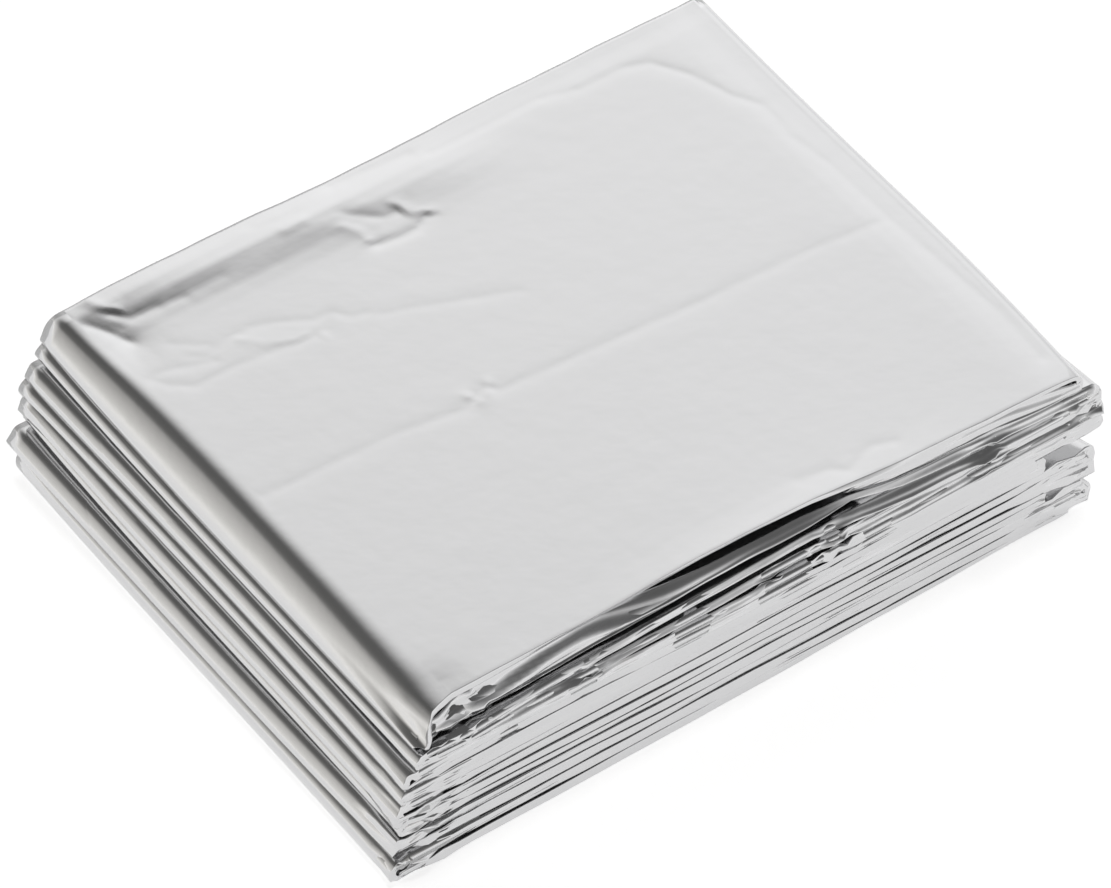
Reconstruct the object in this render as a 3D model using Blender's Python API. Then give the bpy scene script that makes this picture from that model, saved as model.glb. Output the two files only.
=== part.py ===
"""Emergency foil blanket, folded into a flat packet.

The film is folded lengthwise into a strip of sixteen leaves, and the strip lies in a zigzag of panels.
The solid is the strip: one back-and-forth section that runs along Y, with its folds at -X and +X.
X is the packet's long side, Z is up, and the packet rests on z = 0.
"""

import math
from collections import namedtuple

import bmesh
import bpy
import numpy as np

# Driving sizes, in metres
PACK_HEIGHT = 0.0302
STRIP_WIDTH = 0.100
STRIP_THICKNESS = 0.0010
LEFT_PLANE = -0.0670
RIGHT_PLANE = 0.0670
TUCKED_END_X = 0.0170
TUCKED_END_DROP = 0.0004
BOTTOM_END_X = 0.0615
LAYER_GAP = 0.00034

# A fold's sizes at the strip's ends fade in towards each end by this power of the distance
END_BLEND_POWER = 2.2

# How finely the shape is cut
ARC_STEPS = 5
PANEL_STEPS = 4
TOP_PANEL_STEPS = 16
SHARP_ANGLE = math.radians(40.0)

MM = 0.001

# A fold joins two panels. Sizes are in millimetres: height over both panels, the gap above it at the
# back, middle and front of the strip, how far its nose stays inside the plane of the furthest fold at
# the same three places, the radius of its bends, the slope of its upper face in degrees, and how far
# the strip's back and front edges stand out there from half its width.
Fold = namedtuple(
    "Fold",
    "height back_gap gap front_gap back_inset inset front_inset bend slope back_out front_out",
)

LEFT_FOLDS = (
    #    height  gaps above          insets             bend  slope  edges out
    Fold(4.60, 0.00, 0.00, 0.00, 6.9, 7.0, 6.6, 1.00, 54.0, 0.1, -0.6),
    Fold(2.35, 0.34, 0.34, 0.34, 6.0, 6.3, 6.0, 0.67, 90.0, 0.3, 1.3),
    Fold(3.00, 0.34, 0.34, 0.80, 3.7, 4.8, 4.0, 0.85, 60.0, 0.2, 1.0),
    Fold(2.35, 0.34, 0.34, 0.34, 2.8, 4.2, 3.4, 0.67, 90.0, 0.6, 1.3),
    Fold(2.90, 0.34, 0.40, 0.34, 2.6, 2.8, 2.4, 0.75, 60.0, 0.6, 0.9),
    Fold(2.35, 0.34, 0.34, 0.70, 3.2, 3.2, 3.0, 0.67, 90.0, 0.5, 1.2),
    Fold(3.45, 0.34, 0.34, 0.34, 0.0, 0.9, 1.6, 0.80, 58.0, 0.5, 1.1),
    Fold(4.60, 2.40, 0.42, 0.42, 1.5, 1.0, 0.8, 1.80, 50.0, 0.6, 2.4),
)

RIGHT_FOLDS = (
    #    height  gaps above          insets             bend  slope  edges out
    Fold(2.80, 0.00, 0.00, 0.00, 1.6, 2.4, 4.2, 0.85, 80.0, 1.9, -0.7),
    Fold(3.00, 0.36, 0.36, 0.36, 2.6, 2.6, 0.8, 0.80, 70.0, 0.8, -0.3),
    Fold(2.70, 0.36, 0.36, 0.36, 4.2, 3.6, 0.0, 0.75, 70.0, 0.2, -0.6),
    Fold(3.00, 0.36, 0.36, 0.36, 3.2, 3.0, 0.0, 0.80, 65.0, 0.5, -0.3),
    Fold(2.60, 0.80, 0.90, 1.10, 6.6, 8.0, 10.6, 0.72, 90.0, 0.0, -0.8),
    Fold(2.60, 0.60, 0.80, 1.00, 3.4, 3.4, 1.1, 0.72, 70.0, 0.4, -0.7),
    Fold(2.45, 0.60, 0.70, 0.90, 6.2, 7.4, 9.8, 0.70, 90.0, 0.1, -0.6),
    Fold(3.20, 0.60, 0.60, 0.70, 4.2, 4.0, 1.4, 0.80, 65.0, 0.3, -0.8),
)

# Sections across the strip, as shares of its half width, from its front edge to its back edge
SECTIONS = (-1.0, -0.95, -0.87, -0.74, -0.54, -0.28, 0.0, 0.30, 0.56, 0.78, 0.90, 1.0)

# Under the top panel the next ones sag at the front edge, which leaves a hollow there. The sag is in
# millimetres, for the tucked end, the top panel and those below it; lower panels lie straight.
HOLLOW_SAG = (0.0, 0.0, -0.40, 0.00, 0.60, 1.15, 0.90, 0.65, 0.20, 0.12, 0.0)
HOLLOW_X = 0.011
HOLLOW_HALF_LENGTH = 0.026
HOLLOW_DEPTH = 0.016

# Soft shapes pressed into the top panel, in millimetres: centre, half lengths along X and Y, how far
# the centre line drifts in Y for each millimetre of X, and height (down is negative)
Press = namedtuple("Press", "x y long wide drift height")

TOP_SHAPES = (
    Press(-39.0, 46.5, 17.0, 4.2, -0.10, 0.60),
    Press(-13.0, 45.0, 16.0, 4.8, -0.12, 0.50),
    Press(7.0, 43.5, 10.0, 4.5, -0.15, 0.20),
    Press(-52.0, 38.5, 5.0, 6.0, 0.00, -0.20),
    Press(-55.0, -47.0, 5.0, 4.0, 0.00, -0.30),
    Press(7.0, -50.0, 26.0, 5.0, 0.00, 0.25),
    Press(62.5, 0.0, 4.5, 60.0, 0.00, -0.40),
    Press(19.0, 50.5, 40.0, 2.6, 0.00, -0.30),
)

FOIL_SILVER = (0.63, 0.63, 0.64, 1.0)
FOIL_ROUGHNESS = 0.28


def clear_scene():
    """Remove every object, so that the model stands alone."""
    for item in list(bpy.data.objects):
        bpy.data.objects.remove(item, do_unlink=True)


def along_strip(share, back, middle, front):
    """Blend three values along the strip's width; share is -1 at the front and 1 at the back."""
    end = back if share > 0.0 else front
    return middle + (end - middle) * abs(share) ** END_BLEND_POWER


def stack_levels(folds, share, floor, loose_top):
    """Upper and lower surface of each fold, from the packet's top down.

    The height that is left over opens the top fold's loop, or else widens the gaps evenly.
    """
    heights = [fold.height * MM for fold in folds]
    gaps = [along_strip(share, fold.back_gap, fold.gap, fold.front_gap) * MM for fold in folds]
    spare = PACK_HEIGHT - floor - sum(heights) - sum(gaps)
    if loose_top:
        heights[0] += spare
    else:
        gaps[1:] = [gap + spare / (len(folds) - 1) for gap in gaps[1:]]
    levels = []
    top = PACK_HEIGHT
    for height, gap in zip(heights, gaps):
        top -= gap
        levels.append((top, top - height))
        top -= height
    return levels


def fold_line(fold, top, bottom, share, side):
    """Middle line of the strip round one fold, from its upper panel to its lower one.

    An arc turns down to the sloping face, and a second one, after the face, turns back under.
    """
    upper = top - STRIP_THICKNESS / 2
    rise = top - bottom - STRIP_THICKNESS
    bend = min(fold.bend * MM, rise / 2)
    slope = math.radians(fold.slope)
    face = (rise - 2 * bend) / math.sin(slope)
    points = [arc_point(bend, heading) for heading in np.linspace(0.0, slope, ARC_STEPS)]
    lower_arc = face * np.array((math.cos(slope), -math.sin(slope)))
    if face > bend / 4:
        points.append(points[-1] + lower_arc)
    else:
        lower_arc = np.zeros(2)
    for heading in np.linspace(slope, math.pi, ARC_STEPS + 2)[1:]:
        points.append(arc_point(bend, heading) + lower_arc)
    reach = max(point[0] for point in points)
    inset = along_strip(share, fold.back_inset, fold.inset, fold.front_inset) * MM
    plane = LEFT_PLANE if side < 0 else RIGHT_PLANE
    nose = plane - side * (inset + STRIP_THICKNESS / 2)
    return [np.array((nose - side * (reach - x), upper + z)) for x, z in points]


def arc_point(radius, heading):
    """Point of an arc that starts level at the origin and has turned down by the heading."""
    return radius * np.array((math.sin(heading), math.cos(heading) - 1))


def panel_points(start, end, steps):
    """Points between two folds, without the ends."""
    return [start + (end - start) * i / steps for i in range(1, steps)]


def middle_line(share):
    """Middle line of the whole strip at one section, from its tucked end down to its bottom end.

    Returns the points and, for each, the panel that it lies on: 0 is the tucked end, 1 the top panel.
    """
    left = stack_levels(LEFT_FOLDS, share, 0.0, loose_top=True)
    right = stack_levels(RIGHT_FOLDS, share, STRIP_THICKNESS + LAYER_GAP, loose_top=False)
    folds = []
    for row, (right_fold, left_fold) in enumerate(zip(RIGHT_FOLDS, LEFT_FOLDS)):
        folds.append(fold_line(right_fold, *right[row], share, 1))
        folds.append(fold_line(left_fold, *left[row], share, -1))
    folds[0].reverse()
    tucked = np.array((TUCKED_END_X, folds[0][0][1] - TUCKED_END_DROP))
    bottom = np.array((BOTTOM_END_X, STRIP_THICKNESS / 2))
    points = [tucked] + panel_points(tucked, folds[0][0], PANEL_STEPS)
    panels = [0.0] * len(points)
    for number, fold in enumerate(folds):
        panels += list(np.linspace(number, number + 1, len(fold)))
        points += fold
        target = folds[number + 1][0] if number + 1 < len(folds) else bottom
        steps = TOP_PANEL_STEPS if number == 0 else PANEL_STEPS
        between = panel_points(fold[-1], target, steps)
        points += between
        panels += [number + 1.0] * len(between)
    points.append(bottom)
    panels.append(float(len(folds)))
    return np.array(points), np.array(panels)


def both_faces(points):
    """Offset a middle line to both sides by half the strip's thickness."""
    step = np.diff(points, axis=0)
    step /= np.linalg.norm(step, axis=1)[:, None]
    tangent = np.vstack((step[:1], step[:-1] + step[1:], step[-1:]))
    tangent /= np.linalg.norm(tangent, axis=1)[:, None]
    normal = np.column_stack((-tangent[:, 1], tangent[:, 0]))
    offset = normal * STRIP_THICKNESS / 2
    return points + offset, points - offset


def top_relief(x, y):
    """Height that the pressed shapes add to the top panel at a place."""
    total = 0.0
    for shape in TOP_SHAPES:
        across = y / MM - shape.y - shape.drift * (x / MM - shape.x)
        along = x / MM - shape.x
        total += shape.height * math.exp(-((along / shape.long) ** 2) - (across / shape.wide) ** 2)
    return total * MM


def top_share(panel):
    """1 on the top panel, fading to 0 round its two folds."""
    return max(0.0, 1.0 - abs(panel - 1.0))


def hollow_sag(x, y, panel):
    """How far a panel drops at the front edge's hollow."""
    along = (x - HOLLOW_X) / HOLLOW_HALF_LENGTH
    behind_edge = (y + STRIP_WIDTH / 2) / HOLLOW_DEPTH
    sag = np.interp(panel, range(len(HOLLOW_SAG)), HOLLOW_SAG) * MM
    return sag * math.exp(-along ** 2 - behind_edge ** 2)


def edge_out(x, panel, share):
    """How far the strip's nearer edge stands out at a place, blended along the panel between folds."""
    right_row = min(int(panel / 2), len(RIGHT_FOLDS) - 1)
    left_row = min(int((panel + 1) / 2), len(LEFT_FOLDS)) - 1
    ends = [fold.back_out if share > 0 else fold.front_out
            for fold in (LEFT_FOLDS[max(left_row, 0)], RIGHT_FOLDS[right_row])]
    return np.interp(x, (LEFT_PLANE, RIGHT_PLANE), ends) * MM


def section_vertices(share):
    """All points of one section: its one face, then its other."""
    points, panels = middle_line(share)
    vertices = []
    for face in both_faces(points):
        for (x, z), panel in zip(face, panels):
            y = share * (STRIP_WIDTH / 2 + edge_out(x, panel, share))
            z += top_relief(x, y) * top_share(panel) - hollow_sag(x, y, panel)
            vertices.append((x, y, z))
    return vertices, len(points)


def build_blanket(material):
    """The folded strip as one closed solid."""
    mesh = bmesh.new()
    rings = []
    for share in SECTIONS:
        vertices, count = section_vertices(share)
        rings.append([mesh.verts.new(v) for v in vertices])
    outline = list(range(count)) + list(range(2 * count - 1, count - 1, -1))
    for near, far in zip(rings, rings[1:]):
        for a, b in zip(outline, outline[1:] + outline[:1]):
            mesh.faces.new((near[a], near[b], far[b], far[a]))
    for ring in (rings[0], rings[-1]):
        for i in range(count - 1):
            mesh.faces.new((ring[i], ring[i + 1], ring[count + i + 1], ring[count + i]))
    bmesh.ops.recalc_face_normals(mesh, faces=mesh.faces)
    data = bpy.data.meshes.new("foil_blanket")
    mesh.to_mesh(data)
    mesh.free()
    data.shade_smooth()
    data.set_sharp_from_angle(angle=SHARP_ANGLE)
    data.materials.append(material)
    blanket = bpy.data.objects.new("foil_blanket", data)
    bpy.context.scene.collection.objects.link(blanket)
    return blanket


def foil_material():
    """Aluminised polyester film: bright silver with a soft gloss."""
    material = bpy.data.materials.new("aluminised_film")
    material.use_nodes = True
    shader = material.node_tree.nodes["Principled BSDF"]
    shader.inputs["Base Color"].default_value = FOIL_SILVER
    shader.inputs["Metallic"].default_value = 1.0
    shader.inputs["Roughness"].default_value = FOIL_ROUGHNESS
    return material


def main():
    clear_scene()
    build_blanket(foil_material())


if __name__ == "__main__":
    main()
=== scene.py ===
"""Emergency foil blanket, folded into a flat packet, as the finished film sheet.

The whole sheet is modelled: sixteen leaves across its width make a strip, and the strip's panels lie in
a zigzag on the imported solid's folds. X is the packet's long side, and the visible folds are at -X.
"""

import math
from collections import namedtuple

import bmesh
import bpy
import numpy as np
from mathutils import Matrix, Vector


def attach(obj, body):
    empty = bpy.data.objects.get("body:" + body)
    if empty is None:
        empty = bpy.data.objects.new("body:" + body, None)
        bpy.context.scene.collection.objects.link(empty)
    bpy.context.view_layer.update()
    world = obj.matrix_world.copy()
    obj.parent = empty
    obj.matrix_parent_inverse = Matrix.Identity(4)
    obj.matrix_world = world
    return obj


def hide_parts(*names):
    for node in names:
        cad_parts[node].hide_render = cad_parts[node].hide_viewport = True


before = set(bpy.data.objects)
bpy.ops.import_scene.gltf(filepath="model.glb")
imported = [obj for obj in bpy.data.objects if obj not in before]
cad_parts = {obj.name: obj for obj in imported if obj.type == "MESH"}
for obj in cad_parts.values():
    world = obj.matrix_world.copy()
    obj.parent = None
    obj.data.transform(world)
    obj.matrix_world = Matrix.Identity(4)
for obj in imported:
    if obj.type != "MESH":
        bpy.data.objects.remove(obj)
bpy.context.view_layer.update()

bl_info = {
    "name": "Folded Foil Blanket",
    "version": (1, 0, 0),
    "blender": (4, 5, 0),
    "location": "3D View > Sidebar > Foil Blanket",
    "description": "Builds a folded emergency foil blanket, its film finish and a small studio",
    "category": "Object",
}

MM = 0.001
NODE = "foil_blanket"

# The strip's fixed layout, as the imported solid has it
PACK_HEIGHT = 0.0302
STRIP_WIDTH = 0.100
STRIP_THICKNESS = 0.0010
LEFT_PLANE = -0.0670
RIGHT_PLANE = 0.0670
TUCKED_END_X = 0.0170
TUCKED_END_DROP = 0.0004
BOTTOM_END_X = 0.0615
LAYER_GAP = 0.00034
END_BLEND_POWER = 2.2

# A fold joins two panels. Sizes are in millimetres: height over both panels, the gap above it at the
# back, middle and front of the strip, how far its nose stays inside the plane of the furthest fold at
# the same three places, the radius of its bends, the slope of its upper face in degrees, and how far
# the strip's back and front edges stand out there from half its width.
Fold = namedtuple(
    "Fold",
    "height back_gap gap front_gap back_inset inset front_inset bend slope back_out front_out",
)

LEFT_FOLDS = (
    #    height  gaps above          insets             bend  slope  edges out
    Fold(4.60, 0.00, 0.00, 0.00, 6.9, 7.0, 6.6, 1.00, 54.0, 0.1, -0.6),
    Fold(2.35, 0.34, 0.34, 0.34, 6.0, 6.3, 6.0, 0.67, 90.0, 0.3, 1.3),
    Fold(3.00, 0.34, 0.34, 0.80, 3.7, 4.8, 4.0, 0.85, 60.0, 0.2, 1.0),
    Fold(2.35, 0.34, 0.34, 0.34, 2.8, 4.2, 3.4, 0.67, 90.0, 0.6, 1.3),
    Fold(2.90, 0.34, 0.40, 0.34, 2.6, 2.8, 2.4, 0.75, 60.0, 0.6, 1.15),
    Fold(2.35, 0.34, 0.34, 0.70, 3.2, 3.2, 3.0, 0.67, 90.0, 0.5, 1.4),
    Fold(3.45, 0.34, 0.34, 0.34, 0.0, 0.9, 1.6, 0.80, 58.0, 0.5, 1.7),
    Fold(4.60, 2.40, 0.42, 0.42, 1.5, 1.0, 0.8, 1.80, 50.0, 0.6, 2.0),
)

RIGHT_FOLDS = (
    #    height  gaps above          insets             bend  slope  edges out
    Fold(2.80, 0.00, 0.00, 0.00, 1.6, 2.4, 4.2, 0.85, 80.0, 1.9, -0.7),
    Fold(3.00, 0.36, 0.36, 0.36, 2.6, 2.6, 0.8, 0.80, 70.0, 0.8, -0.3),
    Fold(2.70, 0.36, 0.36, 0.36, 4.2, 3.6, 0.0, 0.75, 70.0, 0.2, -0.6),
    Fold(3.00, 0.36, 0.36, 0.36, 3.2, 3.0, 0.0, 0.80, 65.0, 0.5, -0.3),
    Fold(2.60, 0.80, 0.90, 1.10, 6.6, 8.0, 10.6, 0.72, 90.0, 0.0, -0.8),
    Fold(2.60, 0.60, 0.80, 1.00, 3.4, 3.4, 1.1, 0.72, 70.0, 0.4, -0.7),
    Fold(2.45, 0.60, 0.70, 0.90, 6.2, 7.4, 9.8, 0.70, 90.0, 0.1, -0.6),
    Fold(3.20, 0.60, 0.60, 0.70, 4.2, 4.0, 1.4, 0.80, 65.0, 0.3, -0.8),
)
PANELS = len(LEFT_FOLDS) + len(RIGHT_FOLDS) + 1

# The sheet's folds: steepest slope of a face and how much a face curls, in degrees
SHEET_SLOPE = 54.0
FACE_CURL = 5.0
TOP_FACE_CURL = 9.0
# Radius of a nose as a share of the upper bend's, for a flat fold and for a round one, whose bend is over
# this radius in millimetres
NOSE_SHARE = 0.5
ROUND_NOSE_SHARE = 0.9
ROUND_BEND = 1.5
# How much longer than a plain arc the upper bend is, and the top fold's own at the back, middle and front
# of the strip
FOLD_SOFTNESS = 1.6
TOP_BEND_SOFTNESS = (2.2, 3.8, 6.5)

# The top fold's front end hangs down and out over the folds below it. This is most at one place round the
# fold, counted in panels, and fades away from it round the fold and along the strip.
END_DROOP = 0.0022
END_REACH_OUT = 0.0020
END_PLACE = 1.70
END_SPAN = 0.30
END_LENGTH = 0.007

SEED = 7

# The hollow under the top panel at the front edge: how far each panel sags there, in millimetres, from the
# tucked flap down, and the hollow's place along X, half length and depth
HOLLOW_SAG = (0.4, -0.1, -1.70, -1.10, -0.10, 1.00, 0.95, 0.65, 0.20, 0.12, 0.0)
HOLLOW_X = 0.011
HOLLOW_HALF_LENGTH = 0.026
HOLLOW_DEPTH = 0.016

# Soft shapes of the top panel's film: centre, half lengths along X and Y, how far the centre line
# drifts in Y for each millimetre of X, and height, in millimetres
Press = namedtuple("Press", "x y long wide drift height")

TOP_SHAPES = (
    Press(-39.0, 46.5, 17.0, 4.2, -0.10, 0.60),
    Press(-13.0, 45.0, 16.0, 4.8, -0.12, 0.50),
    Press(7.0, 43.5, 10.0, 4.5, -0.15, 0.20),
    Press(-52.0, 38.5, 5.0, 6.0, 0.00, -0.20),
    Press(-55.0, -47.0, 5.0, 4.0, 0.00, -0.30),
    Press(7.0, -50.0, 26.0, 5.0, 0.00, 0.25),
    Press(62.5, 0.0, 4.5, 60.0, 0.00, -0.40),
    Press(19.0, 50.5, 40.0, 2.6, 0.00, -0.30),
)
# The leaves under the top one lie this much lower, clear of its creases
TOP_SINK = 0.0007
# Share of the strip's thickness that the inner leaves keep clear of the outer one
OUTER_LEAF_CLEAR = 0.28

# Creases in the top panel's film: place of the two ends, half width and height, in millimetres
Crease = namedtuple("Crease", "x1 y1 x2 y2 wide height")


def crease_run(wide, height, *points):
    """Creases along a run of points."""
    return [Crease(*start, *end, wide, height) for start, end in zip(points, points[1:])]


TOP_CREASES = (
    # dents beside the back left corner
    crease_run(1.3, -0.32, (-54.4, 45.6), (-52.4, 42.4), (-50.8, 38.6))
    + crease_run(0.9, -0.17, (-52.3, 44.7), (-50.7, 42.1), (-50.4, 39.0))
    + crease_run(1.0, -0.20, (-50.5, 45.3), (-48.3, 43.0), (-43.3, 42.6))
    + crease_run(1.1, -0.13, (-43.3, 42.6), (-39.0, 42.0))
    + crease_run(1.2, -0.07, (-39.0, 42.0), (-32.0, 42.3))
    + crease_run(0.8, 0.15, (-51.6, 49.5), (-50.4, 46.9), (-49.2, 45.2))
    # crumples along the ridge behind
    + crease_run(0.8, 0.10, (-18.9, 44.7), (-15.4, 45.0))
    + crease_run(1.2, -0.15, (-9.2, 42.7), (-4.6, 38.8), (-2.3, 38.6))
    + crease_run(0.8, -0.17, (-8.9, 34.5), (-5.0, 33.9), (-1.6, 33.9), (1.3, 35.3))
    + crease_run(0.8, 0.10, (-1.5, 40.5), (-0.8, 37.9), (2.1, 35.8))
    + crease_run(0.8, 0.08, (-11.1, 40.6), (-9.6, 38.5), (-9.3, 35.5), (-8.1, 34.3))
    + crease_run(0.8, -0.07, (-22.5, 48.0), (-18.1, 47.3), (-15.1, 47.6))
    + crease_run(0.8, -0.11, (-7.6, 49.2), (0.0, 48.8), (6.6, 48.4))
    # loops of fine wrinkles
    + crease_run(0.7, -0.05, (-52.9, 30.6), (-50.1, 30.7), (-46.2, 29.1), (-42.6, 27.9))
    + crease_run(0.7, -0.05, (-53.1, 30.3), (-51.2, 27.6), (-48.0, 25.0), (-45.8, 25.2), (-40.8, 25.2),
                 (-35.3, 24.6), (-29.8, 23.9), (-25.5, 23.6), (-23.1, 26.3))
    + crease_run(0.7, -0.05, (-37.8, 30.6), (-35.0, 31.1), (-30.9, 29.6), (-25.5, 26.5), (-22.8, 26.8),
                 (-20.8, 23.9), (-18.2, 23.2))
    + crease_run(0.7, 0.04, (-37.6, 30.1), (-34.7, 27.0), (-30.3, 24.6), (-26.1, 23.4))
    + crease_run(0.7, -0.04, (-46.7, 35.1), (-40.5, 30.3), (-39.0, 31.0))
    + crease_run(0.7, -0.04, (-45.5, 31.0), (-43.6, 29.3), (-40.3, 30.5))
    + crease_run(0.8, -0.04, (-16.9, 21.9), (-9.6, 19.1), (-3.1, 16.4), (3.4, 13.8))
    # the long crease across the middle and its small crumple
    + crease_run(0.9, -0.05, (-55.5, 0.5), (-46.2, 0.0), (-28.5, -0.4), (-17.9, -2.2), (-12.9, -0.1),
                 (-11.2, -1.8), (-0.7, -2.5), (24.3, -4.0), (42.8, -4.4), (59.5, -5.9))
    + crease_run(0.7, 0.05, (-16.5, 0.6), (-14.5, -2.9), (-11.6, 0.9))
    # the edge of the pack below, printed through the film
    + crease_run(0.8, -0.09, (9.2, 46.2), (29.3, 46.9), (37.1, 45.0), (44.7, 45.1), (49.0, 43.5),
                 (52.7, 37.6), (55.3, 29.8), (58.0, 25.5), (57.3, 17.6), (58.5, 9.1), (58.7, -5.1),
                 (59.5, -18.4), (60.3, -31.6), (59.4, -43.4))
    # dents beside the front edge
    + crease_run(0.8, -0.06, (14.2, -43.2), (19.3, -43.8), (21.5, -45.8), (27.0, -43.4), (30.7, -44.7))
)

# Share of each gap between panels that stays open at the front edge, from the top one down, at these
# places along X. The rest is filled by the strip's leaves, which spread apart there.
GAP_PLACES = (-61, -53, -45, -41, -31, -16, -1, 14, 21, 29, 44, 59)
FRONT_GAPS = (
    (0.03, 0.03, 0.06, 0.08, 0.14, 0.42, 0.66, 0.68, 0.42, 0.08, 0.03, 0.03),
    (0.30, 0.45, 0.35, 0.25, 0.30, 0.40, 0.50, 0.45, 0.12, 0.06, 0.05, 0.05),
    (0.30, 0.30, 0.30, 0.30, 0.50, 0.60, 0.70, 0.70, 0.50, 0.10, 0.05, 0.05),
    (0.02, 0.02, 0.04, 0.10, 0.20, 0.50, 0.60, 0.60, 0.30, 0.04, 0.04, 0.06),
    (0.03, 0.03, 0.06, 0.15, 0.22, 0.25, 0.30, 0.30, 0.20, 0.05, 0.03, 0.05),
    (0.04, 0.03, 0.02, 0.02, 0.03, 0.02, 0.02, 0.02, 0.03, 0.03, 0.03, 0.10),
    (0.02, 0.02, 0.02, 0.02, 0.02, 0.02, 0.02, 0.03, 0.03, 0.02, 0.02, 0.05),
    (0.03, 0.02, 0.02, 0.03, 0.03, 0.02, 0.02, 0.02, 0.02, 0.02, 0.03, 0.10),
    (0.02, 0.02, 0.02, 0.02, 0.02, 0.02, 0.04, 0.04, 0.03, 0.03, 0.04, 0.20),
    (0.10, 0.05, 0.02, 0.02, 0.02, 0.03, 0.02, 0.02, 0.02, 0.02, 0.04, 0.20),
    (0.22, 0.10, 0.02, 0.02, 0.02, 0.03, 0.03, 0.02, 0.02, 0.02, 0.02, 0.10),
    (0.04, 0.02, 0.02, 0.02, 0.02, 0.02, 0.02, 0.04, 0.03, 0.02, 0.02, 0.10),
    (0.38, 0.14, 0.02, 0.02, 0.02, 0.02, 0.02, 0.02, 0.03, 0.03, 0.03, 0.10),
    (0.30, 0.10, 0.02, 0.02, 0.02, 0.02, 0.02, 0.02, 0.02, 0.02, 0.02, 0.10),
    (0.45, 0.22, 0.04, 0.02, 0.02, 0.02, 0.02, 0.02, 0.02, 0.02, 0.02, 0.08),
)
# Share of the room under the top panel that its own leaves take; the panel below takes the rest
TOP_GAP_SPLIT = 0.14

# How far the front edges of the tucked flap, the top panel and those below it stand out, in millimetres,
# at the same places. Those under the top panel stand like stairs beside the hollow.
FRONT_OUTS = (
    (0.0, 0.0, 0.0, 0.0, 0.0, 0.0, 0.0, -1.9, -1.4, -0.8, -0.4, 0.0),
    (-0.8, -1.2, -1.3, -1.4, -1.6, -1.9, -2.1, -1.9, -1.4, -0.8, -0.4, 0.0),
    (0.0, -0.6, -0.9, -1.1, -1.3, -1.5, -1.5, -1.4, -1.0, -0.5, -0.2, 0.0),
    (0.0, -0.1, -0.3, -0.4, -0.7, -0.9, -1.0, -1.0, -0.6, -0.3, 0.0, 0.0),
    (0.0, 0.0, 0.0, -0.1, -0.3, -0.4, -0.6, -0.5, -0.2, 0.0, 0.0, 0.0),
    (0.3, 0.2, 0.1, 0.0, -0.1, -0.1, -0.2, -0.2, 0.1, 0.2, 0.2, 0.0),
)
# How far the same front edges lean back, as a slope, at the same places. A leaning edge shows the dark
# room instead of the floor.
FRONT_LEANS = (
    (0.00, 0.00, 0.00, 0.00, 0.00, 0.00, 0.00, 0.20, 0.50, 0.65, 0.60, 0.60),
    (0.20, 0.20, 0.10, 0.00, 0.00, 0.10, 0.10, 0.10, 0.20, 0.30, 0.30, 0.30),
    (0.20, 0.25, 0.55, 0.75, 0.72, 0.85, 0.78, 0.88, 0.80, 0.75, 0.65, 0.60),
    (0.10, 0.30, 0.50, 0.70, 0.75, 0.60, 0.80, 0.65, 0.80, 0.75, 0.70, 0.65),
    (0.30, 0.20, 0.40, 0.70, 0.60, 0.80, 0.55, 0.80, 0.60, 0.65, 0.60, 0.60),
    (0.10, 0.20, 0.30, 0.50, 0.60, 0.55, 0.70, 0.50, 0.40, 0.55, 0.60, 0.50),
    (0.10, 0.30, 0.20, 0.10, 0.10, 0.20, 0.30, 0.20, 0.10, 0.40, 0.45, 0.30),
    (0.40, 0.10, 0.10, 0.30, 0.20, 0.10, 0.20, 0.30, 0.10, 0.20, 0.10, 0.30),
    (0.10, 0.10, 0.20, 0.10, 0.10, 0.30, 0.20, 0.10, 0.30, 0.20, 0.20, 0.10),
)
# The hollow's lower edge is ragged: waves on the panels there, the panel where they are highest, and the
# places along X between which they grow and fade
RAGGED_WAVES = ((0.0170, 0.00028), (0.0067, 0.00016))
RAGGED_PANEL = 5.5
RAGGED_PLACES = (-0.055, -0.040, 0.020, 0.034)
# Share of each gap that stays open at the back edge, least gap between two panels' leaves, and least and
# most half thickness of the spread leaves
BACK_GAP = 0.15
GAP_CLEARANCE = 0.00001
THINNEST_HALF = 0.00012
THICKEST_HALF = 0.0042
# Share of the strip's half width where its leaves start to spread
SPREAD_START = 0.84

# Uneven shapes of the strip's edges: pairs of wave length and height, in metres. The lean's heights are
# slopes, the face drifts' are radians and the ridge drifts' are turns.
EDGE_WAVES = ((0.061, 0.00012), (0.023, 0.00006), (0.0093, 0.00003))
STACK_WAVES = ((0.083, 0.00012), (0.037, 0.00006))
LEAN_WAVES = ((0.074, 0.16), (0.029, 0.10))
FACE_WAVES = ((0.0053, 0.00012), (0.0031, 0.00005))
FACE_DRIFTS = ((0.110, 1.6), (0.043, 0.6))
RIDGE_DRIFTS = ((0.083, 0.5), (0.031, 0.2))
# Fine ridges round the outermost front fold: how many, and their height, which grows by a power of how
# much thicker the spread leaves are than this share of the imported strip, up to a limit
RIDGES = 3.0
RIDGE_HEIGHT = 0.00004
RIDGE_GROWTH = 1.7
RIDGE_FROM = 0.8
RIDGE_MOST = 3.4
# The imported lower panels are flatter: the panels between which the shapes calm down, and their shares
CALM_PANELS = (5.0, 7.0)
CALM_SHARES = (1.0, 0.4)
# How far the outermost front fold bulges, as a share of its thickness, and the power of the sine that
# rounds it, which is low for a blunt fold
SPINE_BULGE = 0.19
SPINE_BLUNTNESS = 0.30

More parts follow.
